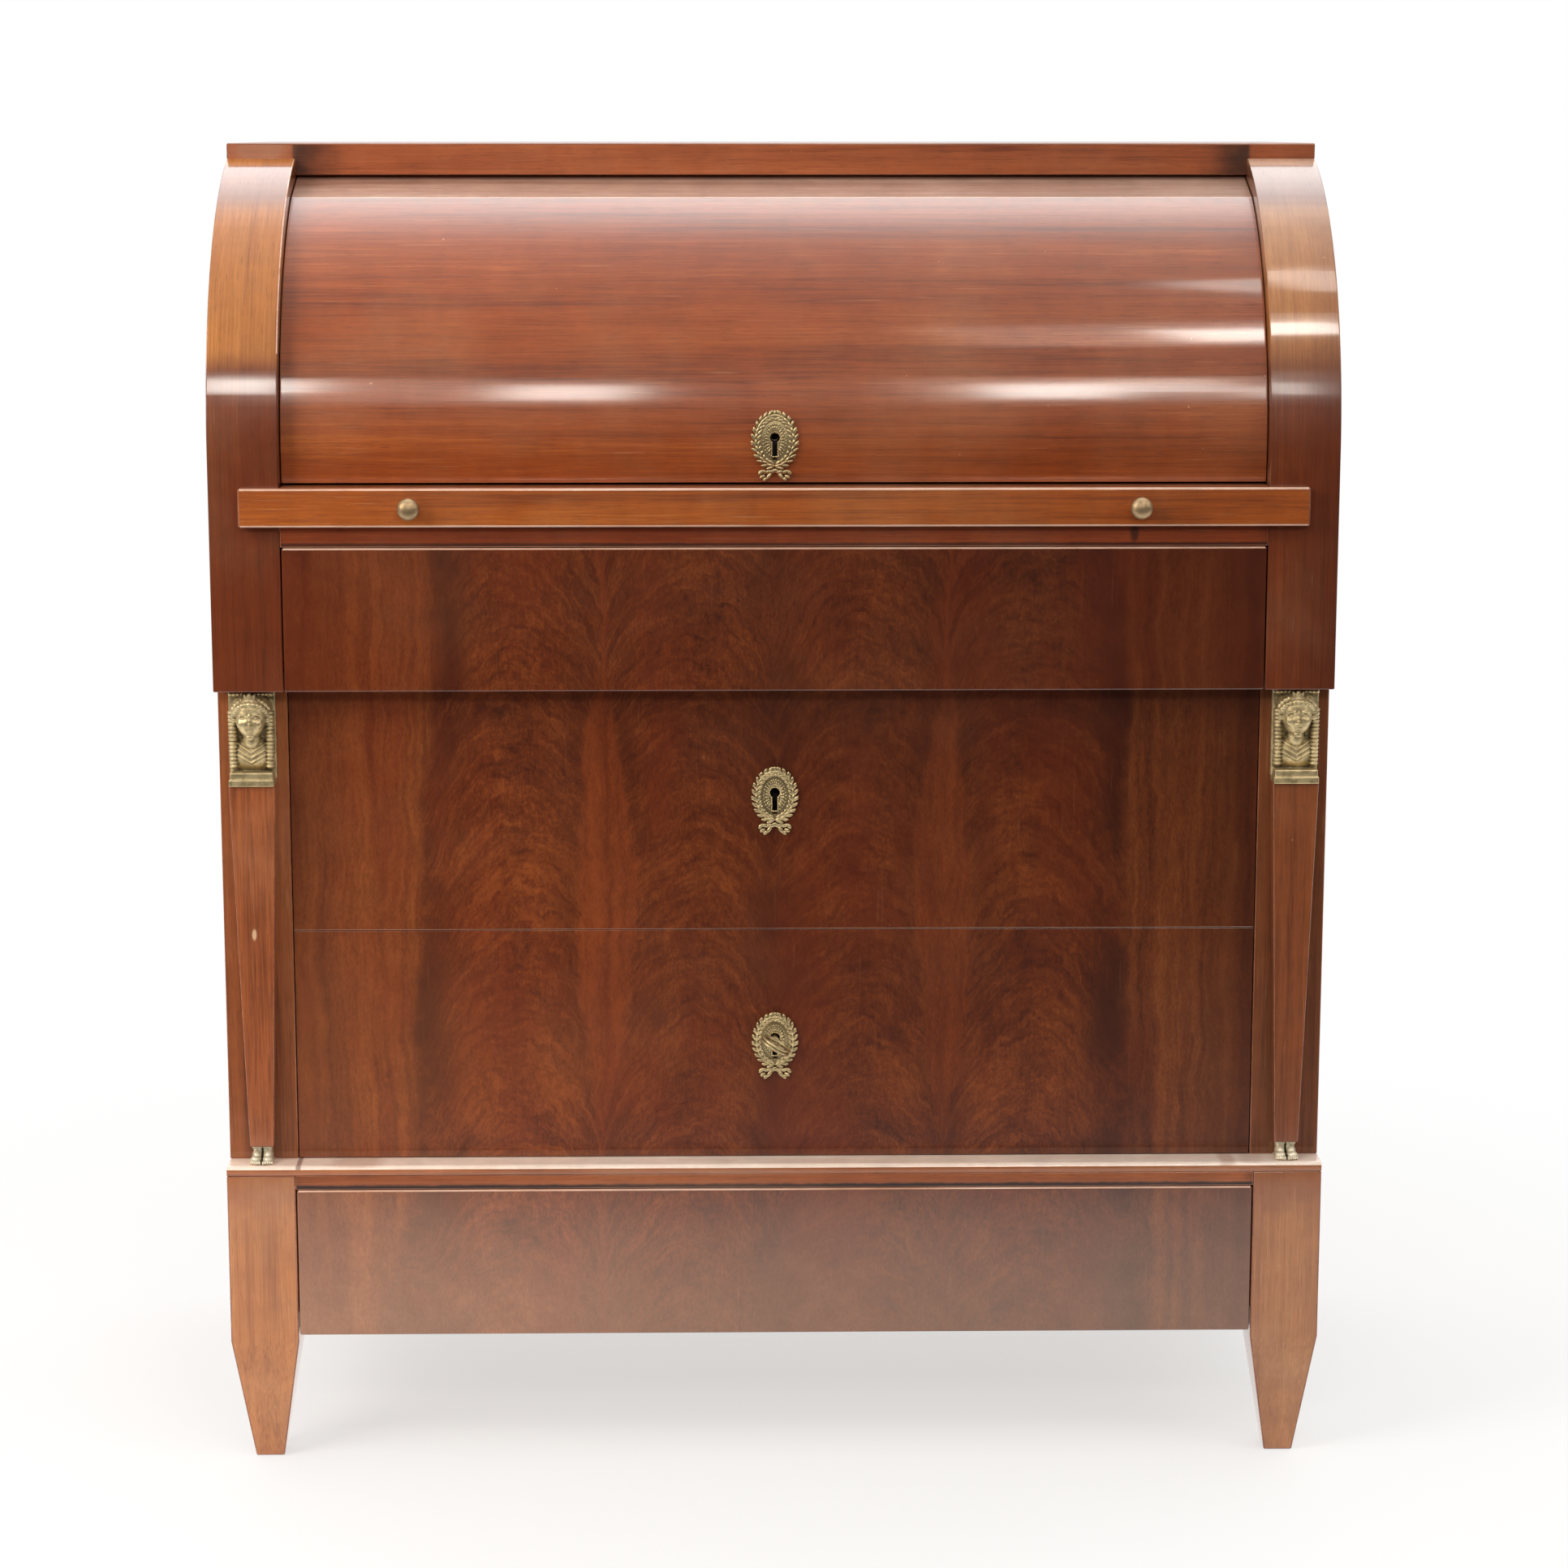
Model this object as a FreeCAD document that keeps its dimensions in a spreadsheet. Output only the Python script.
import FreeCAD
import Part
import Sketcher
import math
import os
import re

# Cylinder desk: a drawer case on four tapered legs, a curved fall that rolls up over a writing slide.
# Millimetres, +Z up, front towards -Y, origin on the floor under the middle of the bounding box.

doc = FreeCAD.newDocument("cylinder_desk")
sheet = doc.addObject("Spreadsheet::Sheet", "sizes")

# Driving sizes
sizes = {
    # Case
    "case_width": 920,
    "case_depth": 460,
    "post_width": 57.5,
    "post_depth": 30,
    "side_thickness": 18,
    "lining_thickness": 12,
    "back_thickness": 12,
    "ledge_depth": 26,
    "stile_depth": 30,
    # Heights, from the floor up
    "under_clear": 112.5,
    "plinth_drawer_height": 127.5,
    "plinth_rail_height": 12,
    "plinth_board_thickness": 8,
    "lower_drawer_height": 196.7,
    "upper_drawer_height": 205.3,
    "frieze_height": 119,
    "slide_rail_height": 17.4,
    "slide_height": 31.6,
    "slide_to_axis": 26.5,
    # Curved upper case
    "curve_radius": 246.4,
    "fall_recess": 14.4,
    "fall_thickness": 18,
    "fall_end_gap": 0.8,
    "fall_lift": 2,
    "fall_gap": 2.5,
    "facet_start_angle": 61,
    "facet_end_angle": 80,
    "top_thickness": 13,
    "top_rail_drop": 14,
    "top_rail_depth": 18,
    "cove_gap": 1.5,
    "arm_thickness": 10,
    "arm_angle": 72,
    "arm_seat": 0.1,
    "hub_radius": 13,
    "pin_radius": 6,
    "pin_fit": 0.05,
    # Rails, boards and runners
    "slide_rail_depth": 50,
    "plinth_rail_depth": 40,
    "divider_thickness": 18,
    "divider_depth": 60,
    "soffit_thickness": 14,
    "runner_width": 16,
    "runner_thickness": 12,
    "plinth_runner_thickness": 6,
    "nose_radius": 4,
    # Legs
    "taper_height": 107,
    "foot_width": 24,
    # Writing slide
    "slide_proud": 13,
    "slide_front_width": 869,
    "slide_thickness": 22,
    "slide_back_gap": 20,
    "slide_side_gap": 1.2,
    "slide_float": 0.3,
    "bearer_width": 40,
    "leather_width": 720,
    "leather_depth": 195,
    "leather_margin": 42,
    "leather_thickness": 1.5,
    "knob_reach": 17,
    "knob_width": 18,
    "knob_rose_width": 14,
    "knob_neck_width": 7,
    "knob_rose_thickness": 2,
    "knob_neck_length": 5,
    "knob_spacing": 592,
    # Drawers
    "front_thickness": 22,
    "lip_thickness": 8,
    "front_gap": 0.6,
    "front_side_gap": 0.8,
    "lip_gap": 0.5,
    "box_side_gap": 2.5,
    "box_side": 12,
    "box_back": 10,
    "box_bottom": 7,
    "box_bottom_rise": 5,
    "box_float": 0.4,
    "box_drop": 8,
    "case_box_gap": 22,
    "frieze_box_gap": 48,
    "plinth_box_gap": 2.5,
    # Locks, escutcheons and the key
    "lock_width": 52,
    "lock_thickness": 12,
    "lock_sink": 9,
    "lock_above_key": 26,
    "lock_below_key": 20,
    "lock_fit": 0.2,
    "bolt_width": 16,
    "bolt_thickness": 5,
    "bolt_inset": 3,
    "bolt_above_key": 12,
    "bolt_throw": 6,
    "mortise_spare": 2,
    "fall_lock_height": 50,
    "fall_bolt_length": 15,
    "escutcheon_width": 39,
    "escutcheon_height": 49,
    "escutcheon_thickness": 3,
    "fall_escutcheon_rise": 0.5,
    "upper_oval_rise": 11,
    "lower_oval_rise": 2.5,
    "ribbon_width": 18,
    "ribbon_height": 12,
    "ribbon_lap": 3,
    "keyhole_rise": 2.5,
    "keyhole_radius": 4,
    "keyhole_slot_width": 4,
    "keyhole_slot_drop": 18,
    "key_radius": 2.5,
    "key_fit": 0.05,
    "key_chamber_radius": 10.5,
    "key_chamber_depth": 5,
    "key_bit_length": 9,
    "key_bit_thickness": 2.2,
    "key_bit_play": 0.4,
    "key_tip_length": 1.5,
    "key_reach": 14,
    "key_bow_radius": 12.5,
    "key_bow_wire": 2.4,
    "key_slant": 30,
    # Herm pilasters
    "pilaster_top_width": 38,
    "pilaster_top_depth": 19,
    "pilaster_low_width": 20,
    "pilaster_low_depth": 14,
    "head_width": 40,
    "head_height": 79,
    "head_depth": 28,
    "head_gap": 0.5,
    "head_band": 12,
    "head_band_depth": 22,
    "head_hair_depth": 16,
    "head_face_width": 32,
    "head_face_height": 50,
    "head_neck_width": 22,
    "bronze_foot_height": 14,
    "bronze_foot_reach": 23,
    "bronze_foot_width": 9.3,
    "bronze_foot_space": 1.4,
    "bronze_toe_height": 5,
    "bronze_instep": 16,
    # Fitted interior
    "floor_lift": 2.5,
    "floor_thickness": 8.5,
    "floor_reach": 40,
    "nest_gap": 4,
    "nest_board": 8,
    "nest_front_reach": 30,
    "nest_back_gap": 53.6,
    "nest_rise": 135,
    "nest_bay": 190,
    "nest_drawer_height": 62,
    "small_front": 10,
    "small_gap": 0.8,
    "small_float": 0.4,
    "small_board": 6,
    "small_drop": 8,
    "small_back_gap": 4,
    "small_knob_width": 11,
    "small_knob_reach": 12,
    # Overrun of every cutting solid past the face it leaves by
    "overrun": 5,
}

# Levels, planes and centres worked out from the driving sizes
derived = {
    "half_width": "case_width / 2",
    "post_inner": "half_width - post_width",
    "panel_inner": "half_width - side_thickness",
    "lining_outer": "post_inner + lining_thickness",
    "stile_middle": "(half_width + post_inner) / 2",
    "front": "(slide_proud + knob_reach - case_depth) / 2",
    "back": "front + case_depth",
    "back_inner": "back - back_thickness",
    "case_face": "front + ledge_depth",
    "stile_back": "case_face + stile_depth",
    "post_back": "front + post_depth",
    "plinth_drawer_high": "under_clear + plinth_drawer_height",
    "plinth_low": "plinth_drawer_high + plinth_rail_height",
    "ledge_top": "plinth_low + plinth_board_thickness",
    "drawer_split": "ledge_top + lower_drawer_height",
    "soffit_low": "drawer_split + upper_drawer_height",
    "soffit_high": "soffit_low + soffit_thickness",
    "frieze_high": "soffit_low + frieze_height",
    "slide_low": "frieze_high + slide_rail_height",
    "slide_high": "slide_low + slide_height",
    "axis_z": "slide_high + slide_to_axis",
    "axis_y": "front + curve_radius",
    "fall_radius": "curve_radius - fall_recess",
    "fall_inner": "fall_radius - fall_thickness",
    "fall_low": "slide_high + fall_lift",
    "fall_half": "post_inner - fall_end_gap",
    "top_low": "axis_z + fall_radius + fall_gap",
    "top_high": "top_low + top_thickness",
    "patch_y": "axis_y - sqrt(pow(curve_radius, 2) - pow(top_low - axis_z, 2))",
    "post_crown": "axis_z + curve_radius - post_depth",
    "cove_radius": "fall_radius + cove_gap",
    "facet_low_y": "axis_y - fall_radius * cos(facet_start_angle)",
    "facet_low_z": "axis_z + fall_radius * sin(facet_start_angle)",
    "facet_high_y": "axis_y - fall_radius * cos(facet_end_angle)",
    "facet_high_z": "axis_z + fall_radius * sin(facet_end_angle)",
    "fall_edge_y": "axis_y - fall_inner * cos(facet_end_angle)",
    "fall_edge_z": "axis_z + fall_inner * sin(facet_end_angle)",
    "fall_low_outer_y": "axis_y - sqrt(pow(fall_radius, 2) - pow(axis_z - fall_low, 2))",
    "fall_low_inner_y": "axis_y - sqrt(pow(fall_inner, 2) - pow(axis_z - fall_low, 2))",
    "arm_inner": "fall_half - arm_thickness",
    "nose_y": "front + nose_radius",
    "nose_z": "ledge_top - nose_radius",
    "divider_low": "drawer_split - divider_thickness / 2",
    "divider_high": "drawer_split + divider_thickness / 2",
    "divider_front": "case_face + lip_thickness + lip_gap",
    "divider_back": "divider_front + divider_depth",
    "plinth_runner_low": "under_clear + front_gap",
    "plinth_runner_high": "plinth_runner_low + plinth_runner_thickness",
    "slide_back": "back_inner - slide_back_gap",
    "slide_board_low": "slide_high - slide_thickness",
    "slide_half": "post_inner - slide_side_gap",
    "seat_y": "front - lip_gap",
    "knob_z": "slide_low + slide_height / 2",
    "front_half": "post_inner - front_side_gap",
    "box_half": "post_inner - box_side_gap",
    "fall_oval_low": "fall_low + fall_escutcheon_rise + ribbon_height - ribbon_lap",
    "fall_key_z": "fall_oval_low + escutcheon_height / 2 + keyhole_rise",
    "lower_key_z": "(ledge_top + drawer_split) / 2 + lower_oval_rise + keyhole_rise",
    "upper_key_z": "(drawer_split + soffit_low) / 2 + upper_oval_rise + keyhole_rise",
    "head_low": "soffit_low - head_gap - head_height",
    "pilaster_low": "ledge_top + bronze_foot_height",
    "bronze_toe_y": "case_face - bronze_foot_reach",
    "bronze_toe_z": "ledge_top + bronze_toe_height",
    "bronze_instep_y": "case_face - bronze_instep",
    "floor_low": "slide_high + floor_lift",
    "floor_high": "floor_low + floor_thickness",
    "nest_half": "arm_inner - nest_gap",
    "nest_front": "axis_y - nest_front_reach",
    "nest_back": "back_inner - nest_back_gap - nest_board",
    "nest_high": "axis_z + nest_rise",
    "bay_outer": "nest_half - nest_board",
    "bay_inner": "bay_outer - nest_bay",
    "shelf_low": "floor_high + nest_drawer_height",
    "shelf_high": "shelf_low + nest_board",
}

for row, (name, number) in enumerate(sizes.items(), start=1):
    sheet.set(f"A{row}", name)
    sheet.set(f"B{row}", str(number))
    sheet.setAlias(f"B{row}", name)
for row, (name, formula) in enumerate(derived.items(), start=1):
    sheet.set(f"C{row}", name)
    sheet.set(f"D{row}", "=" + formula)
    sheet.setAlias(f"D{row}", name)
doc.recompute()

names = set(sizes) | set(derived)
nodes = []


def bind(text):
    return re.sub(r"[a-z_]+", lambda word: f"sizes.{word[0]}" if word[0] in names else word[0], text)


def value(name):
    return 0.0 if name == "0" else float(sheet.get(name))


def node(shape, label):
    shape.Label = label
    nodes.append(shape)
    return shape


# Solids made of boards, rods and rings

def place(solid, spot):
    for axis, text in zip("xyz", spot):
        solid.setExpression(f"Placement.Base.{axis}", bind(text))
    return solid


def box(name, low, high):
    solid = doc.addObject("Part::Box", name)
    for side, start, end in zip(("Length", "Width", "Height"), low, high):
        solid.setExpression(side, bind(f"({end}) - ({start})"))
    return place(solid, low)


def rod(name, radius, length, spot, turn):
    solid = doc.addObject("Part::Cylinder", name)
    solid.setExpression("Radius", bind(radius))
    solid.setExpression("Height", bind(length))
    solid.Placement.Rotation = turn
    return place(solid, spot)


def cut(name, base, tool):
    solid = doc.addObject("Part::Cut", name)
    solid.Base = base
    solid.Tool = tool
    return solid


def common(name, base, tool):
    solid = doc.addObject("Part::Common", name)
    solid.Base = base
    solid.Tool = tool
    return solid


def fuse(name, shapes):
    solid = doc.addObject("Part::MultiFuse", name)
    solid.Shapes = shapes
    return solid


def group(name, shapes):
    several = doc.addObject("Part::Compound", name)
    several.Links = shapes
    return several


def mirrored(name, source):
    twin = doc.addObject("Part::Mirroring", name)
    twin.Source = source
    twin.Normal = FreeCAD.Vector(1, 0, 0)
    return twin


def pair(name, build):
    left = node(build(f"left_{name}"), f"left_{name}")
    node(mirrored(f"right_{name}", left), f"right_{name}")


along_x = FreeCAD.Rotation(FreeCAD.Vector(0, 1, 0), 90)
along_y = FreeCAD.Rotation(FreeCAD.Vector(1, 0, 0), -90)
# Sector angles counted from the front upwards, seen from the left end
from_front = FreeCAD.Rotation(
    FreeCAD.Vector(0, -1, 0), FreeCAD.Vector(0, 0, 1), FreeCAD.Vector(-1, 0, 0), "ZXY"
)


# Solids drawn as an outline: a coordinate marked ~ follows from an arc and isn't set by itself

def pin_point(sketch, geometry, end, spot):
    for kind, axis, name in zip(("DistanceX", "DistanceY"), (-2, -1), spot):
        if name.startswith("~"):
            continue
        if name == "0":
            sketch.addConstraint(Sketcher.Constraint("PointOnObject", geometry, end, axis))
            continue
        number = sketch.addConstraint(Sketcher.Constraint(kind, -1, 1, geometry, end, value(name)))
        sketch.setExpression(f"Constraints[{number}]", bind(name))


def point(spot):
    return FreeCAD.Vector(value(spot[0].lstrip("~")), value(spot[1].lstrip("~")), 0)


def draw(sketch, corners, arcs):
    ends = []
    for number, corner in enumerate(corners):
        start = point(corner)
        end = point(corners[(number + 1) % len(corners)])
        if number not in arcs:
            ends.append((sketch.addGeometry(Part.LineSegment(start, end)), 1, 2))
            continue
        centre = point(arcs[number])
        circle = Part.Circle(centre, FreeCAD.Vector(0, 0, 1), (start - centre).Length)
        first = math.atan2(start.y - centre.y, start.x - centre.x)
        last = math.atan2(end.y - centre.y, end.x - centre.x)
        if (last - first) % math.tau < math.pi:
            ends.append((sketch.addGeometry(Part.ArcOfCircle(circle, first, last)), 1, 2))
        else:
            ends.append((sketch.addGeometry(Part.ArcOfCircle(circle, last, first)), 2, 1))
    for number, (geometry, start, _) in enumerate(ends):
        before, _, end = ends[number - 1]
        sketch.addConstraint(Sketcher.Constraint("Coincident", before, end, geometry, start))
        pin_point(sketch, geometry, start, corners[number])
        if number in arcs:
            pin_point(sketch, geometry, 3, arcs[number])


def drawing(body, name, plane, corners, arcs, offset):
    sketch = body.newObject("Sketcher::SketchObject", name)
    flat = next(f for f in body.Origin.OriginFeatures if f.Role == plane)
    sketch.AttachmentSupport = [(flat, "")]
    sketch.MapMode = "FlatFace"
    sketch.setExpression("AttachmentOffset.Base.z", bind(offset))
    draw(sketch, corners, arcs)
    return sketch


def prism(name, plane, corners, arcs, start, end):
    body = doc.addObject("PartDesign::Body", name)
    # The XZ plane faces the front, so its offsets run towards -Y
    offset = f"-({end})" if plane == "XZ_Plane" else start
    pad = body.newObject("PartDesign::Pad", f"{name}_pad")
    pad.Profile = drawing(body, f"{name}_outline", plane, corners, arcs, offset)
    pad.setExpression("Length", bind(f"({end}) - ({start})"))
    return body


def tapered(name, low_corners, high_corners, low, high):
    body = doc.addObject("PartDesign::Body", name)
    loft = body.newObject("PartDesign::AdditiveLoft", f"{name}_loft")
    loft.Profile = drawing(body, f"{name}_low", "XY_Plane", low_corners, {}, low)
    loft.Sections = [drawing(body, f"{name}_high", "XY_Plane", high_corners, {}, high)]
    loft.Ruled = True
    return body


def turned(name, corners, arcs, spot):
    body = doc.addObject("PartDesign::Body", name)
    spin = body.newObject("PartDesign::Revolution", f"{name}_spin")
    sketch = drawing(body, f"{name}_outline", "XY_Plane", corners, arcs, "0")
    spin.Profile = sketch
    spin.ReferenceAxis = (sketch, ["V_Axis"])
    return place(body, spot)


def rectangle(x_low, x_high, y_low, y_high):
    return [(x_low, y_low), (x_high, y_low), (x_high, y_high), (x_low, y_high)]


def note(name, formula):
    # A further worked-out size, kept in the sheet beside the others
    row = len(derived) + 1
    derived[name] = formula
    names.add(name)
    sheet.set(f"C{row}", name)
    sheet.set(f"D{row}", "=" + formula)
    sheet.setAlias(f"D{row}", name)
    sheet.recompute()
    return name


# Upper case: curved posts, sides, top and back

note("side_outer", "-half_width")
note("side_face", "-panel_inner")
note("post_face", "-post_inner")
axis = ("axis_y", "axis_z")


def curved_post(name):
    corners = [
        ("front", "soffit_low"),
        ("front", "axis_z"),
        ("~patch_y", "top_low"),
        ("axis_y", "top_low"),
        ("axis_y", "post_crown"),
        ("~post_back", "axis_z"),
        ("post_back", "soffit_low"),
    ]
    return prism(name, "YZ_Plane", corners, {1: axis, 4: axis}, "side_outer", "post_face")


def side_outline(rear):
    return [
        ("post_back", "soffit_low"),
        ("post_back", "axis_z"),
        ("axis_y", "~post_crown"),
        ("axis_y", "top_low"),
        (rear, "top_low"),
        (rear, "soffit_low"),
    ]


def side_panel(name):
    return prism(name, "YZ_Plane", side_outline("back"), {1: axis}, "side_outer", "side_face")


def lining(name):
    board = prism(
        f"{name}_board", "YZ_Plane", side_outline("back_inner"), {1: axis}, "-lining_outer", "post_face"
    )
    hole = rod(
        f"{name}_pin_hole",
        "pin_radius + pin_fit",
        "lining_thickness + 2 * overrun",
        ("-lining_outer - overrun", "axis_y", "axis_z"),
        along_x,
    )
    return cut(name, board, hole)


pair("curved_post", curved_post)
pair("side_panel", side_panel)
pair("lining", lining)
node(box("top_board", ("-half_width", "patch_y", "top_low"), ("half_width", "back", "top_high")), "top_board")
node(
    cut(
        "top_rail",
        box(
            "top_rail_blank",
            ("-post_inner", "patch_y", "top_low - top_rail_drop"),
            ("post_inner", "patch_y + top_rail_depth", "top_low"),
        ),
        rod(
            "top_rail_cove",
            "cove_radius",
            "2 * (post_inner + overrun)",
            ("-post_inner - overrun", "axis_y", "axis_z"),
            along_x,
        ),
    ),
    "top_rail",
)
node(
    box("upper_back", ("-panel_inner", "back_inner", "soffit_low"), ("panel_inner", "back", "top_low")),
    "upper_back_panel",
)
node(
    box(
        "slide_rail",
        ("-post_inner", "front", "frieze_high"),
        ("post_inner", "front + slide_rail_depth", "slide_low"),
    ),
    "slide_rail",
)
slide_runner = box(
    "left_slide_runner",
    ("-post_inner", "front + slide_rail_depth", "slide_low - runner_thickness"),
    ("-post_inner + runner_width", "back_inner", "slide_low"),
)
node(group("slide_runners", [slide_runner, mirrored("right_slide_runner", slide_runner)]), "slide_runners")
node(
    box(
        "interior_floor",
        ("-post_inner", "axis_y - floor_reach", "floor_low"),
        ("post_inner", "back_inner", "floor_high"),
    ),
    "interior_floor",
)
pivot_pin = rod(
    "left_pivot_pin", "pin_radius", "lining_outer - arm_inner", ("-lining_outer", "axis_y", "axis_z"), along_x
)
node(group("pivot_pins", [pivot_pin, mirrored("right_pivot_pin", pivot_pin)]), "fall_pivot_pins")


# Lower case: stiles, sides, back and the divider that the drawer fronts hide

def lower_side(name):
    return box(
        name, ("-half_width", "stile_back", "ledge_top"), ("-panel_inner", "back", "soffit_low")
    )


def stile(name):
    return box(
        name, ("-half_width", "case_face", "ledge_top"), ("-post_inner", "stile_back", "soffit_low")
    )


pair("lower_side", lower_side)
pair("stile", stile)
node(
    box("lower_back", ("-panel_inner", "back_inner", "ledge_top"), ("panel_inner", "back", "soffit_low")),
    "lower_back_panel",
)

# Bolts stand just inside each drawer front's back face
note("case_face_rear", "case_face + front_thickness")
note("bolt_back", "case_face_rear - bolt_inset")
note("bolt_front", "bolt_back - bolt_thickness")


def mortise(name, low_y, high_y, low_z, high_z):
    return box(
        name,
        ("-bolt_width / 2 - lock_fit", f"{low_y} - lock_fit", low_z),
        ("bolt_width / 2 + lock_fit", f"{high_y} + lock_fit", high_z),
    )


node(
    cut(
        "soffit",
        box(
            "soffit_blank",
            ("-post_inner", "front + lip_thickness + lip_gap", "soffit_low"),
            ("post_inner", "back_inner", "soffit_high"),
        ),
        mortise(
            "soffit_mortise",
            "bolt_front",
            "bolt_back",
            "soffit_low - overrun",
            "soffit_low + bolt_throw + mortise_spare",
        ),
    ),
    "soffit_board",
)
node(
    cut(
        "divider",
        box(
            "divider_blank",
            ("-post_inner", "divider_front", "divider_low"),
            ("post_inner", "divider_back", "divider_high"),
        ),
        mortise(
            "divider_mortise",
            "bolt_front",
            "bolt_back",
            "divider_low - overrun",
            "divider_low + bolt_throw + mortise_spare",
        ),
    ),
    "drawer_divider",
)
upper_runner = box(
    "left_upper_runner",
    ("-panel_inner", "divider_back", "divider_high - runner_thickness"),
    ("-post_inner + runner_width", "back_inner", "divider_high"),
)
plinth_runner = box(
    "left_plinth_runner",
    ("-panel_inner", "front + post_width", "plinth_runner_low"),
    ("-post_inner + runner_width", "back - post_width", "plinth_runner_high"),
)
node(
    group(
        "runners",
        [
            upper_runner,
            mirrored("right_upper_runner", upper_runner),
            plinth_runner,
            mirrored("right_plinth_runner", plinth_runner),
        ],
    ),
    "drawer_runners",
)


# Plinth: a board with a rounded front edge, rails and four legs

node(
    prism(
        "plinth_board",
        "YZ_Plane",
        [
            ("front", "plinth_low"),
            ("front", "nose_z"),
            ("nose_y", "~ledge_top"),
            ("back", "ledge_top"),
            ("back", "plinth_low"),
        ],
        {1: ("nose_y", "nose_z")},
        "side_outer",
        "half_width",
    ),
    "plinth_board",
)
node(
    box(
        "plinth_front_rail",
        ("-post_inner", "front", "plinth_drawer_high"),
        ("post_inner", "front + plinth_rail_depth", "plinth_low"),
    ),
    "plinth_front_rail",
)
plinth_side = box(
    "left_plinth_side",
    ("-half_width", "front + post_width", "under_clear"),
    ("-panel_inner", "back - post_width", "plinth_low"),
)
plinth_rear = box(
    "plinth_rear",
    ("-post_inner", "back - side_thickness", "under_clear"),
    ("post_inner", "back", "plinth_low"),
)
node(
    group("plinth_rails", [plinth_side, mirrored("right_plinth_side", plinth_side), plinth_rear]),
    "plinth_rails",
)

note("foot_half", "foot_width / 2")
note("leg_middle_x", "-stile_middle")
note("foot_left", "leg_middle_x - foot_half")
note("foot_right", "leg_middle_x + foot_half")


def leg(name, front_plane):
    low = note(f"{name}_front", front_plane)
    high = note(f"{name}_rear", f"{low} + post_width")
    foot_low = note(f"{name}_foot_front", f"({low} + {high}) / 2 - foot_half")
    foot_high = note(f"{name}_foot_rear", f"({low} + {high}) / 2 + foot_half")
    taper = tapered(
        f"{name}_taper",
        rectangle("foot_left", "foot_right", foot_low, foot_high),
        rectangle("side_outer", "post_face", low, high),
        "0",
        "taper_height",
    )
    block = box(
        f"{name}_block", ("-half_width", low, "taper_height"), ("-post_inner", high, "plinth_low")
    )
    return fuse(name, [taper, block])


front_leg = node(leg("left_front_leg", "front"), "left_front_leg")
node(mirrored("right_front_leg", front_leg), "right_front_leg")
back_leg = leg("left_back_leg", "back - post_width")
node(group("back_legs", [back_leg, mirrored("right_back_leg", back_leg)]), "back_legs")


# Herm pilasters: tapered shaft, bronze head and bronze feet

note("shaft_low_left", "-stile_middle - pilaster_low_width / 2")
note("shaft_low_right", "-stile_middle + pilaster_low_width / 2")
note("shaft_top_left", "-stile_middle - pilaster_top_width / 2")
note("shaft_top_right", "-stile_middle + pilaster_top_width / 2")
note("shaft_low_front", "case_face - pilaster_low_depth")
note("shaft_top_front", "case_face - pilaster_top_depth")


def pilaster(name):
    return tapered(
        name,
        rectangle("shaft_low_left", "shaft_low_right", "shaft_low_front", "case_face"),
        rectangle("shaft_top_left", "shaft_top_right", "shaft_top_front", "case_face"),
        "pilaster_low",
        "head_low",
    )


def herm_head(name):
    band = box(
        f"{name}_band",
        ("-stile_middle - head_width / 2", "case_face - head_band_depth", "head_low"),
        ("-stile_middle + head_width / 2", "case_face", "head_low + head_band"),
    )
    hair = box(
        f"{name}_hair",
        ("-stile_middle - head_width / 2", "case_face - head_hair_depth", "head_low + head_band"),
        ("-stile_middle + head_width / 2", "case_face", "head_low + head_height"),
    )
    face = doc.addObject("Part::Ellipsoid", f"{name}_face")
    face.setExpression("Radius1", bind("head_face_height / 2"))
    face.setExpression("Radius2", bind("head_face_width / 2"))
    face.setExpression("Radius3", bind("head_depth / 2"))
    place(
        face,
        (
            "-stile_middle",
            "case_face - head_depth / 2",
            "head_low + head_height - head_face_height / 2",
        ),
    )
    neck = box(
        f"{name}_neck",
        ("-stile_middle - head_neck_width / 2", "case_face - head_band_depth", "head_low + head_band"),
        (
            "-stile_middle + head_neck_width / 2",
            "case_face",
            "head_low + head_height - head_face_height / 2",
        ),
    )
    return fuse(name, [band, hair, face, neck])


note("foot_inner", "-stile_middle - bronze_foot_space / 2")
note("foot_outer", "foot_inner - bronze_foot_width")
note("foot_inner_twin", "-stile_middle + bronze_foot_space / 2")
note("foot_outer_twin", "foot_inner_twin + bronze_foot_width")


def bronze_foot(name, start, end):
    corners = [
        ("case_face", "ledge_top"),
        ("case_face", "pilaster_low"),
        ("bronze_instep_y", "pilaster_low"),
        ("bronze_toe_y", "bronze_toe_z"),
        ("bronze_toe_y", "ledge_top"),
    ]
    return prism(name, "YZ_Plane", corners, {}, start, end)


pair("pilaster", pilaster)
pair("herm_head", herm_head)
feet = [
    bronze_foot("left_outer_foot", "foot_outer", "foot_inner"),
    bronze_foot("left_inner_foot", "foot_inner_twin", "foot_outer_twin"),
]
twins = [mirrored(f"{foot.Name}_twin", foot) for foot in feet]
node(group("bronze_feet", feet + twins), "bronze_feet")


# Escutcheons: a pointed oval with a ribbon below and a keyhole

note("oval_half_height", "escutcheon_height / 2")
note("oval_half_width", "escutcheon_width / 2")
note("oval_reach", "(pow(oval_half_height, 2) / oval_half_width - oval_half_width) / 2")
note("oval_left", "-oval_reach")


def keyhole(name, key_z, low_y, high_y):
    eye = rod(
        f"{name}_eye", "keyhole_radius", f"{high_y} - ({low_y})", ("0", low_y, key_z), along_y
    )
    slot = box(
        f"{name}_slot",
        ("-keyhole_slot_width / 2", low_y, f"{key_z} - keyhole_slot_drop"),
        ("keyhole_slot_width / 2", high_y, key_z),
    )
    return fuse(name, [eye, slot])


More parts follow.
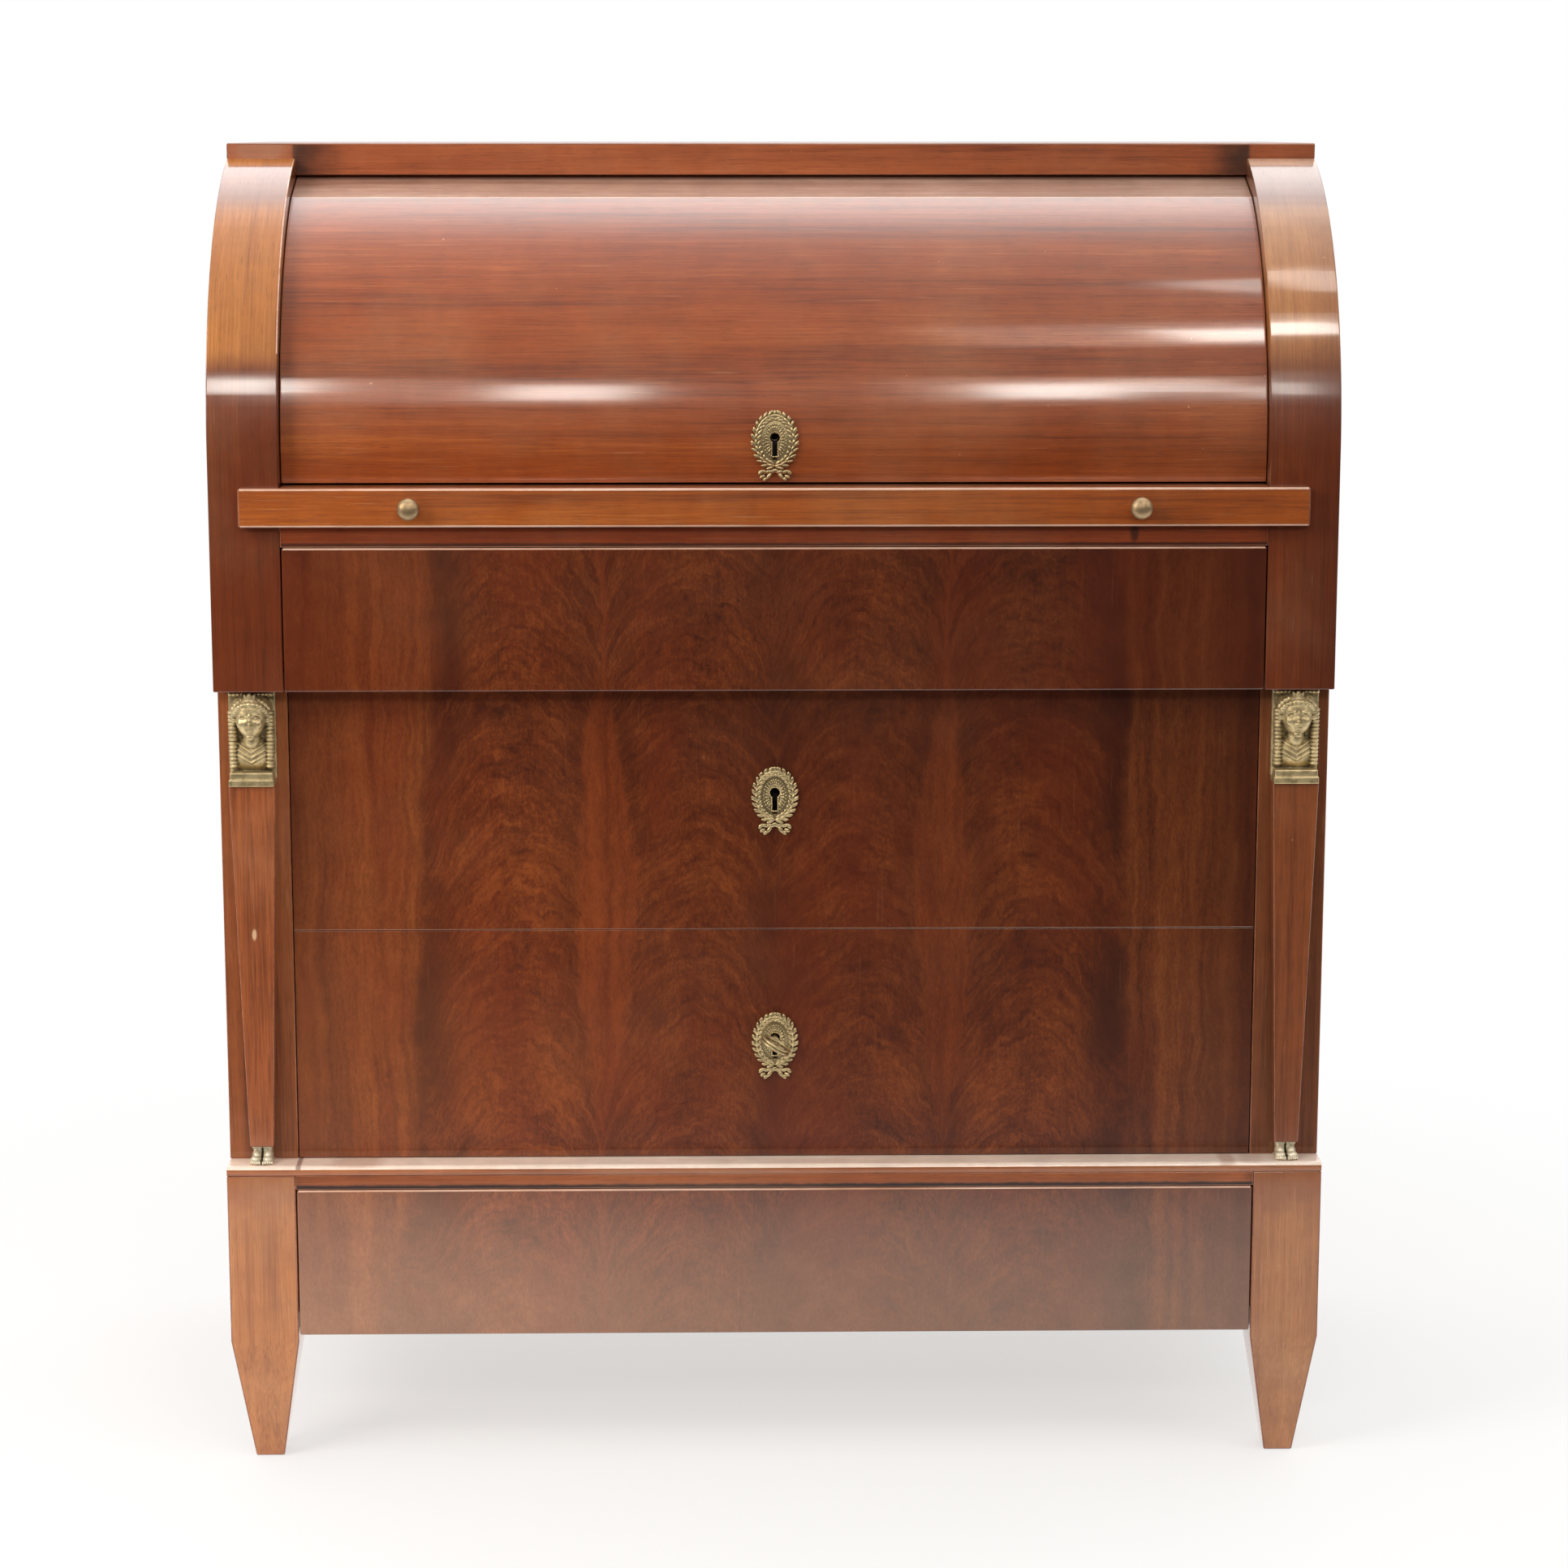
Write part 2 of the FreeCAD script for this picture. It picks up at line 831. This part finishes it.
def escutcheon(name, key_z, face_y, rise):
    middle = note(f"{name}_middle", f"{key_z} - keyhole_rise")
    top = note(f"{name}_top", f"{middle} + oval_half_height")
    low = note(f"{name}_low", f"{middle} - oval_half_height")
    oval = prism(
        f"{name}_oval",
        "XZ_Plane",
        [("0", top), ("0", low)],
        {0: ("oval_left", f"~{middle}"), 1: ("oval_reach", f"~{middle}")},
        f"{face_y} - {rise}",
        face_y,
    )
    ribbon = box(
        f"{name}_ribbon",
        ("-ribbon_width / 2", f"{face_y} - {rise}", f"{low} - ribbon_height + ribbon_lap"),
        ("ribbon_width / 2", face_y, f"{low} + ribbon_lap"),
    )
    hole = keyhole(f"{name}_hole", key_z, f"{face_y} - {rise} - overrun", f"{face_y} + overrun")
    return cut(f"{name}_plate", fuse(f"{name}_blank", [oval, ribbon]), hole)


# Fall: a curved shell on two quadrant arms, with its lock

fall_blank = prism(
    "fall_blank",
    "YZ_Plane",
    [
        ("~fall_low_outer_y", "fall_low"),
        ("facet_low_y", "facet_low_z"),
        ("facet_high_y", "facet_high_z"),
        ("fall_edge_y", "fall_edge_z"),
        ("~fall_low_inner_y", "fall_low"),
    ],
    {0: axis, 3: axis},
    "-fall_half",
    "fall_half",
)
note("fall_lock_front", "axis_y - fall_inner - lock_sink")
note("fall_lock_back", "fall_lock_front + lock_thickness")
note("fall_lock_high", "fall_low + fall_lock_height")
note("fall_bolt_back", "fall_lock_back - bolt_inset")
note("fall_bolt_front", "fall_bolt_back - bolt_thickness")
fall_pocket = box(
    "fall_pocket",
    ("-lock_width / 2 - lock_fit", "fall_lock_front - lock_fit", "fall_low - overrun"),
    ("lock_width / 2 + lock_fit", "fall_lock_back + overrun", "fall_lock_high + lock_fit"),
)
fall_keyhole = keyhole("fall_keyhole", "fall_key_z", "front", "axis_y - fall_inner")
node(cut("fall_shell", fall_blank, fuse("fall_cuts", [fall_pocket, fall_keyhole])), "fall_shell")

quadrant = doc.addObject("Part::Cylinder", "left_quadrant")
quadrant.setExpression("Radius", bind("fall_inner - arm_seat"))
quadrant.setExpression("Height", bind("arm_thickness"))
quadrant.setExpression("Angle", bind("arm_angle"))
quadrant.Placement.Rotation = from_front
place(quadrant, ("-arm_inner", "axis_y", "axis_z"))
hub = rod("left_hub", "hub_radius", "arm_thickness", ("-fall_half", "axis_y", "axis_z"), along_x)
hub_hole = rod(
    "left_hub_hole",
    "pin_radius + pin_fit",
    "arm_thickness + 2 * overrun",
    ("-fall_half - overrun", "axis_y", "axis_z"),
    along_x,
)
arm = cut("left_arm", fuse("left_arm_blank", [quadrant, hub]), hub_hole)
node(group("fall_arms", [arm, mirrored("right_arm", arm)]), "fall_arms")

fall_plate = escutcheon("fall_escutcheon", "fall_key_z", "axis_y", "curve_radius")
fall_band = cut(
    "fall_band",
    rod(
        "fall_band_outer",
        "fall_radius + escutcheon_thickness",
        "case_width",
        ("-half_width", "axis_y", "axis_z"),
        along_x,
    ),
    rod("fall_band_inner", "fall_radius", "case_width", ("-half_width", "axis_y", "axis_z"), along_x),
)
node(common("fall_escutcheon", fall_plate, fall_band), "fall_escutcheon")


def lock_case(name, key_z, low, low_y, high_y, high, cuts):
    case = box(f"{name}_blank", ("-lock_width / 2", low_y, low), ("lock_width / 2", high_y, high))
    bore = rod(
        f"{name}_bore",
        "key_radius + key_fit",
        f"{high_y} - ({low_y}) - bolt_inset + overrun",
        ("0", f"{low_y} - overrun", key_z),
        along_y,
    )
    return cut(name, case, fuse(f"{name}_cuts", [bore, *cuts]))


node(
    lock_case(
        "fall_lock",
        "fall_key_z",
        "fall_low",
        "fall_lock_front",
        "fall_lock_back",
        "fall_lock_high",
        [
            mortise(
                "fall_lock_slot",
                "fall_bolt_front",
                "fall_bolt_back",
                "fall_low - overrun",
                "fall_low + fall_bolt_length + lock_fit",
            )
        ],
    ),
    "fall_lock",
)
node(
    box(
        "fall_bolt",
        ("-bolt_width / 2", "fall_bolt_front", "fall_low"),
        ("bolt_width / 2", "fall_bolt_back", "fall_low + fall_bolt_length"),
    ),
    "fall_bolt",
)


# Writing slide: a board on two bearers, a lapping front, a leather top and two knobs

slide_blank = box(
    "slide_blank",
    ("-slide_half", "seat_y", "slide_board_low"),
    ("slide_half", "slide_back", "slide_high"),
)
note("leather_front", "front + leather_margin")
leather_low = ("-leather_width / 2", "leather_front", "slide_high - leather_thickness")
leather_pocket = box(
    "leather_pocket",
    leather_low,
    ("leather_width / 2", "leather_front + leather_depth", "slide_high + overrun"),
)
slide_mortise = mortise(
    "slide_mortise",
    "fall_bolt_front",
    "fall_bolt_back",
    "slide_high - bolt_throw - mortise_spare",
    "slide_high + overrun",
)
slide_top = cut("slide_top", slide_blank, fuse("slide_cuts", [leather_pocket, slide_mortise]))
bearer = box(
    "left_bearer",
    ("-slide_half", "seat_y", "slide_low + slide_float"),
    ("-slide_half + bearer_width", "slide_back", "slide_board_low"),
)
node(group("slide_board", [slide_top, bearer, mirrored("right_bearer", bearer)]), "slide_board")
node(
    box(
        "slide_front",
        ("-slide_front_width / 2", "front - slide_proud", "slide_low"),
        ("slide_front_width / 2", "seat_y", "slide_high"),
    ),
    "slide_front",
)
node(
    box(
        "slide_leather",
        leather_low,
        ("leather_width / 2", "leather_front + leather_depth", "slide_high"),
    ),
    "slide_leather",
)

note("rose_radius", "knob_rose_width / 2")
note("neck_radius", "knob_neck_width / 2")
note("rose_end", "-knob_rose_thickness")
note("neck_end", "-knob_rose_thickness - knob_neck_length")
note("knob_radius", "knob_width / 2")
note("knob_end", "-knob_reach")
note("knob_middle", "(neck_end + knob_end) / 2")
knob = turned(
    "left_knob",
    [
        ("0", "0"),
        ("rose_radius", "0"),
        ("rose_radius", "rose_end"),
        ("neck_radius", "rose_end"),
        ("neck_radius", "neck_end"),
        ("knob_radius", "knob_middle"),
        ("neck_radius", "knob_end"),
        ("0", "knob_end"),
    ],
    {},
    ("-knob_spacing / 2", "front - slide_proud", "knob_z"),
)
node(group("slide_knobs", [knob, mirrored("right_knob", knob)]), "slide_knobs")


# Drawers: a front with a lip over the rail it hides, and a box of four boards

def drawer_box(name, front_back, rear, low, high):
    side = box(
        f"{name}_left_side", ("-box_half", front_back, low), ("-box_half + box_side", rear, high)
    )
    rear_board = box(
        f"{name}_rear",
        ("-box_half + box_side", f"{rear} - box_back", f"{low} + box_bottom_rise"),
        ("box_half - box_side", rear, high),
    )
    bottom = box(
        f"{name}_bottom",
        ("-box_half + box_side", front_back, f"{low} + box_bottom_rise"),
        ("box_half - box_side", f"{rear} - box_back", f"{low} + box_bottom_rise + box_bottom"),
    )
    return group(name, [side, mirrored(f"{name}_right_side", side), rear_board, bottom])


def lipped_front(name, face, low, high, inner_low, inner_high):
    lip = note(f"{name}_lip", f"{face} + lip_thickness")
    rear = note(f"{name}_rear", f"{face} + front_thickness")
    bottom = note(f"{name}_low", low)
    top = note(f"{name}_high", high)
    inner_bottom = note(f"{name}_inner_low", inner_low)
    inner_top = note(f"{name}_inner_high", inner_high)
    plate = box(f"{name}_plate", ("-front_half", face, bottom), ("front_half", lip, top))
    block = box(f"{name}_block", ("-front_half", lip, inner_bottom), ("front_half", rear, inner_top))
    return fuse(f"{name}_board", [plate, block])


node(
    lipped_front(
        "frieze_front",
        "front",
        "soffit_low",
        "frieze_high - front_gap",
        "soffit_high + lip_gap",
        "frieze_high - front_gap",
    ),
    "frieze_drawer_front",
)
node(
    drawer_box(
        "frieze_box",
        "frieze_front_rear",
        "back_inner - frieze_box_gap",
        "soffit_high + box_float",
        "frieze_high - box_drop",
    ),
    "frieze_drawer_box",
)
node(
    box(
        "plinth_drawer_front",
        ("-front_half", "front", "under_clear"),
        ("front_half", "front + front_thickness", "plinth_drawer_high - front_gap"),
    ),
    "plinth_drawer_front",
)
node(
    drawer_box(
        "plinth_box",
        "front + front_thickness",
        "back - post_width - plinth_box_gap",
        "plinth_runner_high + box_float",
        "plinth_drawer_high - box_drop",
    ),
    "plinth_drawer_box",
)


def locked_drawer(name, board, key_z, box_low, box_high, chamber):
    inner_top = f"{name}_front_inner_high"
    rear = "case_face_rear"
    lock_front = note(f"{name}_lock_front", f"{rear} - lock_sink")
    lock_back = note(f"{name}_lock_back", f"{lock_front} + lock_thickness")
    lock_low = note(f"{name}_lock_low", f"{key_z} - lock_below_key")
    lock_high = note(f"{name}_lock_high", f"{key_z} + lock_above_key")
    bolt_low = note(f"{name}_bolt_low", f"{key_z} + bolt_above_key")
    pocket = box(
        f"{name}_pocket",
        ("-lock_width / 2 - lock_fit", f"{lock_front} - lock_fit", f"{lock_low} - lock_fit"),
        ("lock_width / 2 + lock_fit", f"{rear} + overrun", f"{lock_high} + lock_fit"),
    )
    channel = mortise(
        f"{name}_channel", "bolt_front", f"{rear} + overrun", bolt_low, f"{inner_top} + overrun"
    )
    hole = keyhole(f"{name}_keyhole", key_z, "case_face - overrun", rear)
    node(
        cut(f"{name}_front_cut", board, fuse(f"{name}_front_cuts", [pocket, channel, hole])),
        f"{name}_drawer_front",
    )
    node(
        drawer_box(f"{name}_box", rear, "back_inner - case_box_gap", box_low, box_high),
        f"{name}_drawer_box",
    )
    node(
        escutcheon(f"{name}_escutcheon", key_z, "case_face", "escutcheon_thickness"),
        f"{name}_escutcheon",
    )
    slot = mortise(
        f"{name}_slot", "bolt_front", "bolt_back", f"{bolt_low} - lock_fit", f"{lock_high} + overrun"
    )
    node(
        lock_case(
            f"{name}_lock", key_z, lock_low, lock_front, lock_back, lock_high, [slot, *chamber]
        ),
        f"{name}_lock",
    )
    node(
        box(
            f"{name}_bolt",
            ("-bolt_width / 2", "bolt_front", bolt_low),
            ("bolt_width / 2", "bolt_back", inner_top),
        ),
        f"{name}_bolt",
    )


key_chamber = rod(
    "key_chamber",
    "key_chamber_radius",
    "key_chamber_depth",
    ("0", "bolt_back - key_chamber_depth", "lower_key_z"),
    along_y,
)
locked_drawer(
    "upper",
    lipped_front(
        "upper_front",
        "case_face",
        "drawer_split + front_gap / 2",
        "soffit_low - front_gap",
        "divider_high + lip_gap",
        "soffit_low - front_gap",
    ),
    "upper_key_z",
    "divider_high + box_float",
    "soffit_low - box_drop",
    [],
)
locked_drawer(
    "lower",
    lipped_front(
        "lower_front",
        "case_face",
        "ledge_top + front_gap",
        "drawer_split - front_gap / 2",
        "ledge_top + front_gap",
        "divider_low - lip_gap",
    ),
    "lower_key_z",
    "ledge_top + box_float",
    "divider_low - box_drop",
    [key_chamber],
)


# Key: shank, bit and ring bow in one piece, drawn about its own axis and slanted in the lock

note("key_tip_y", "bolt_back - key_bit_play + key_tip_length")
note("key_ring_y", "case_face - key_reach")
shank = rod("key_shank", "key_radius", "key_tip_y - key_ring_y", ("0", "key_ring_y", "0"), along_y)
bit = box(
    "key_bit",
    ("0", "bolt_back - key_chamber_depth + key_bit_play", "-key_bit_thickness / 2"),
    ("key_bit_length", "bolt_back - key_bit_play", "key_bit_thickness / 2"),
)
bow = doc.addObject("Part::Torus", "key_bow")
bow.setExpression("Radius1", bind("key_bow_radius"))
bow.setExpression("Radius2", bind("key_bow_wire"))
place(bow, ("0", "key_ring_y - key_bow_radius", "0"))
key = fuse("key", [shank, bit, bow])
key.Placement.Rotation = FreeCAD.Rotation(FreeCAD.Vector(0, 1, 0), sizes["key_slant"])
key.setExpression("Placement.Rotation.Angle", bind("key_slant"))
place(key, ("0", "0", "lower_key_z"))
node(key, "key")


# Fitted interior: pigeonholes over two small drawers

cheek = box(
    "left_cheek", ("-nest_half", "nest_front", "floor_high"), ("-bay_outer", "nest_back", "nest_high")
)
upright_board = box(
    "left_upright",
    ("-bay_inner", "nest_front", "floor_high"),
    ("-bay_inner + nest_board", "nest_back", "nest_high - nest_board"),
)
shelf = box(
    "left_shelf", ("-bay_outer", "nest_front", "shelf_low"), ("-bay_inner", "nest_back", "shelf_high")
)
nest_top = box(
    "nest_top",
    ("-bay_outer", "nest_front", "nest_high - nest_board"),
    ("bay_outer", "nest_back", "nest_high"),
)
nest_rear = box(
    "nest_rear",
    ("-nest_half", "nest_back", "floor_high"),
    ("nest_half", "nest_back + nest_board", "nest_high"),
)
halves = [cheek, upright_board, shelf]
node(
    group(
        "nest",
        halves + [mirrored(f"right_{half.Name}", half) for half in halves] + [nest_top, nest_rear],
    ),
    "pigeonhole_nest",
)


def small_drawer(name):
    left = "-bay_outer + small_gap"
    right = "-bay_inner - small_gap"
    low = "floor_high + small_float"
    high = "shelf_low - small_gap"
    rear = "nest_back - small_back_gap"
    wall = "nest_front + small_front"
    board = box(f"{name}_front", (left, "nest_front", low), (right, wall, high))
    left_side = box(
        f"{name}_left_side", (left, wall, low), (f"{left} + small_board", rear, "shelf_low - small_drop")
    )
    right_side = box(
        f"{name}_right_side", (f"{right} - small_board", wall, low), (right, rear, "shelf_low - small_drop")
    )
    back_board = box(
        f"{name}_rear",
        (f"{left} + small_board", f"{rear} - small_board", low),
        (f"{right} - small_board", rear, "shelf_low - small_drop"),
    )
    bottom = box(
        f"{name}_bottom",
        (f"{left} + small_board", wall, low),
        (f"{right} - small_board", f"{rear} - small_board", f"{low} + small_board"),
    )
    grip = rod(
        f"{name}_grip",
        "small_knob_width / 2",
        "small_knob_reach",
        ("-(bay_outer + bay_inner) / 2", "nest_front - small_knob_reach", "(floor_high + shelf_low) / 2"),
        along_y,
    )
    return group(name, [board, left_side, right_side, back_board, bottom, grip])


pair("small_drawer", small_drawer)


# Test and export

doc.recompute()
for thing in doc.Objects:
    if "Invalid" in thing.State or "Error" in thing.State:
        raise RuntimeError(f"{thing.Label} failed: {thing.State}")
for piece in nodes:
    if piece.Shape.isNull() or not piece.Shape.isValid() or not piece.Shape.Solids:
        raise RuntimeError(f"{piece.Label} has no valid solid")

os.makedirs("parts", exist_ok=True)
for piece in nodes:
    piece.Shape.exportStep(f"parts/{piece.Label}.step")
    print(f"{piece.Label}: {len(piece.Shape.Solids)} solids, {piece.Shape.Volume:.0f} mm3")
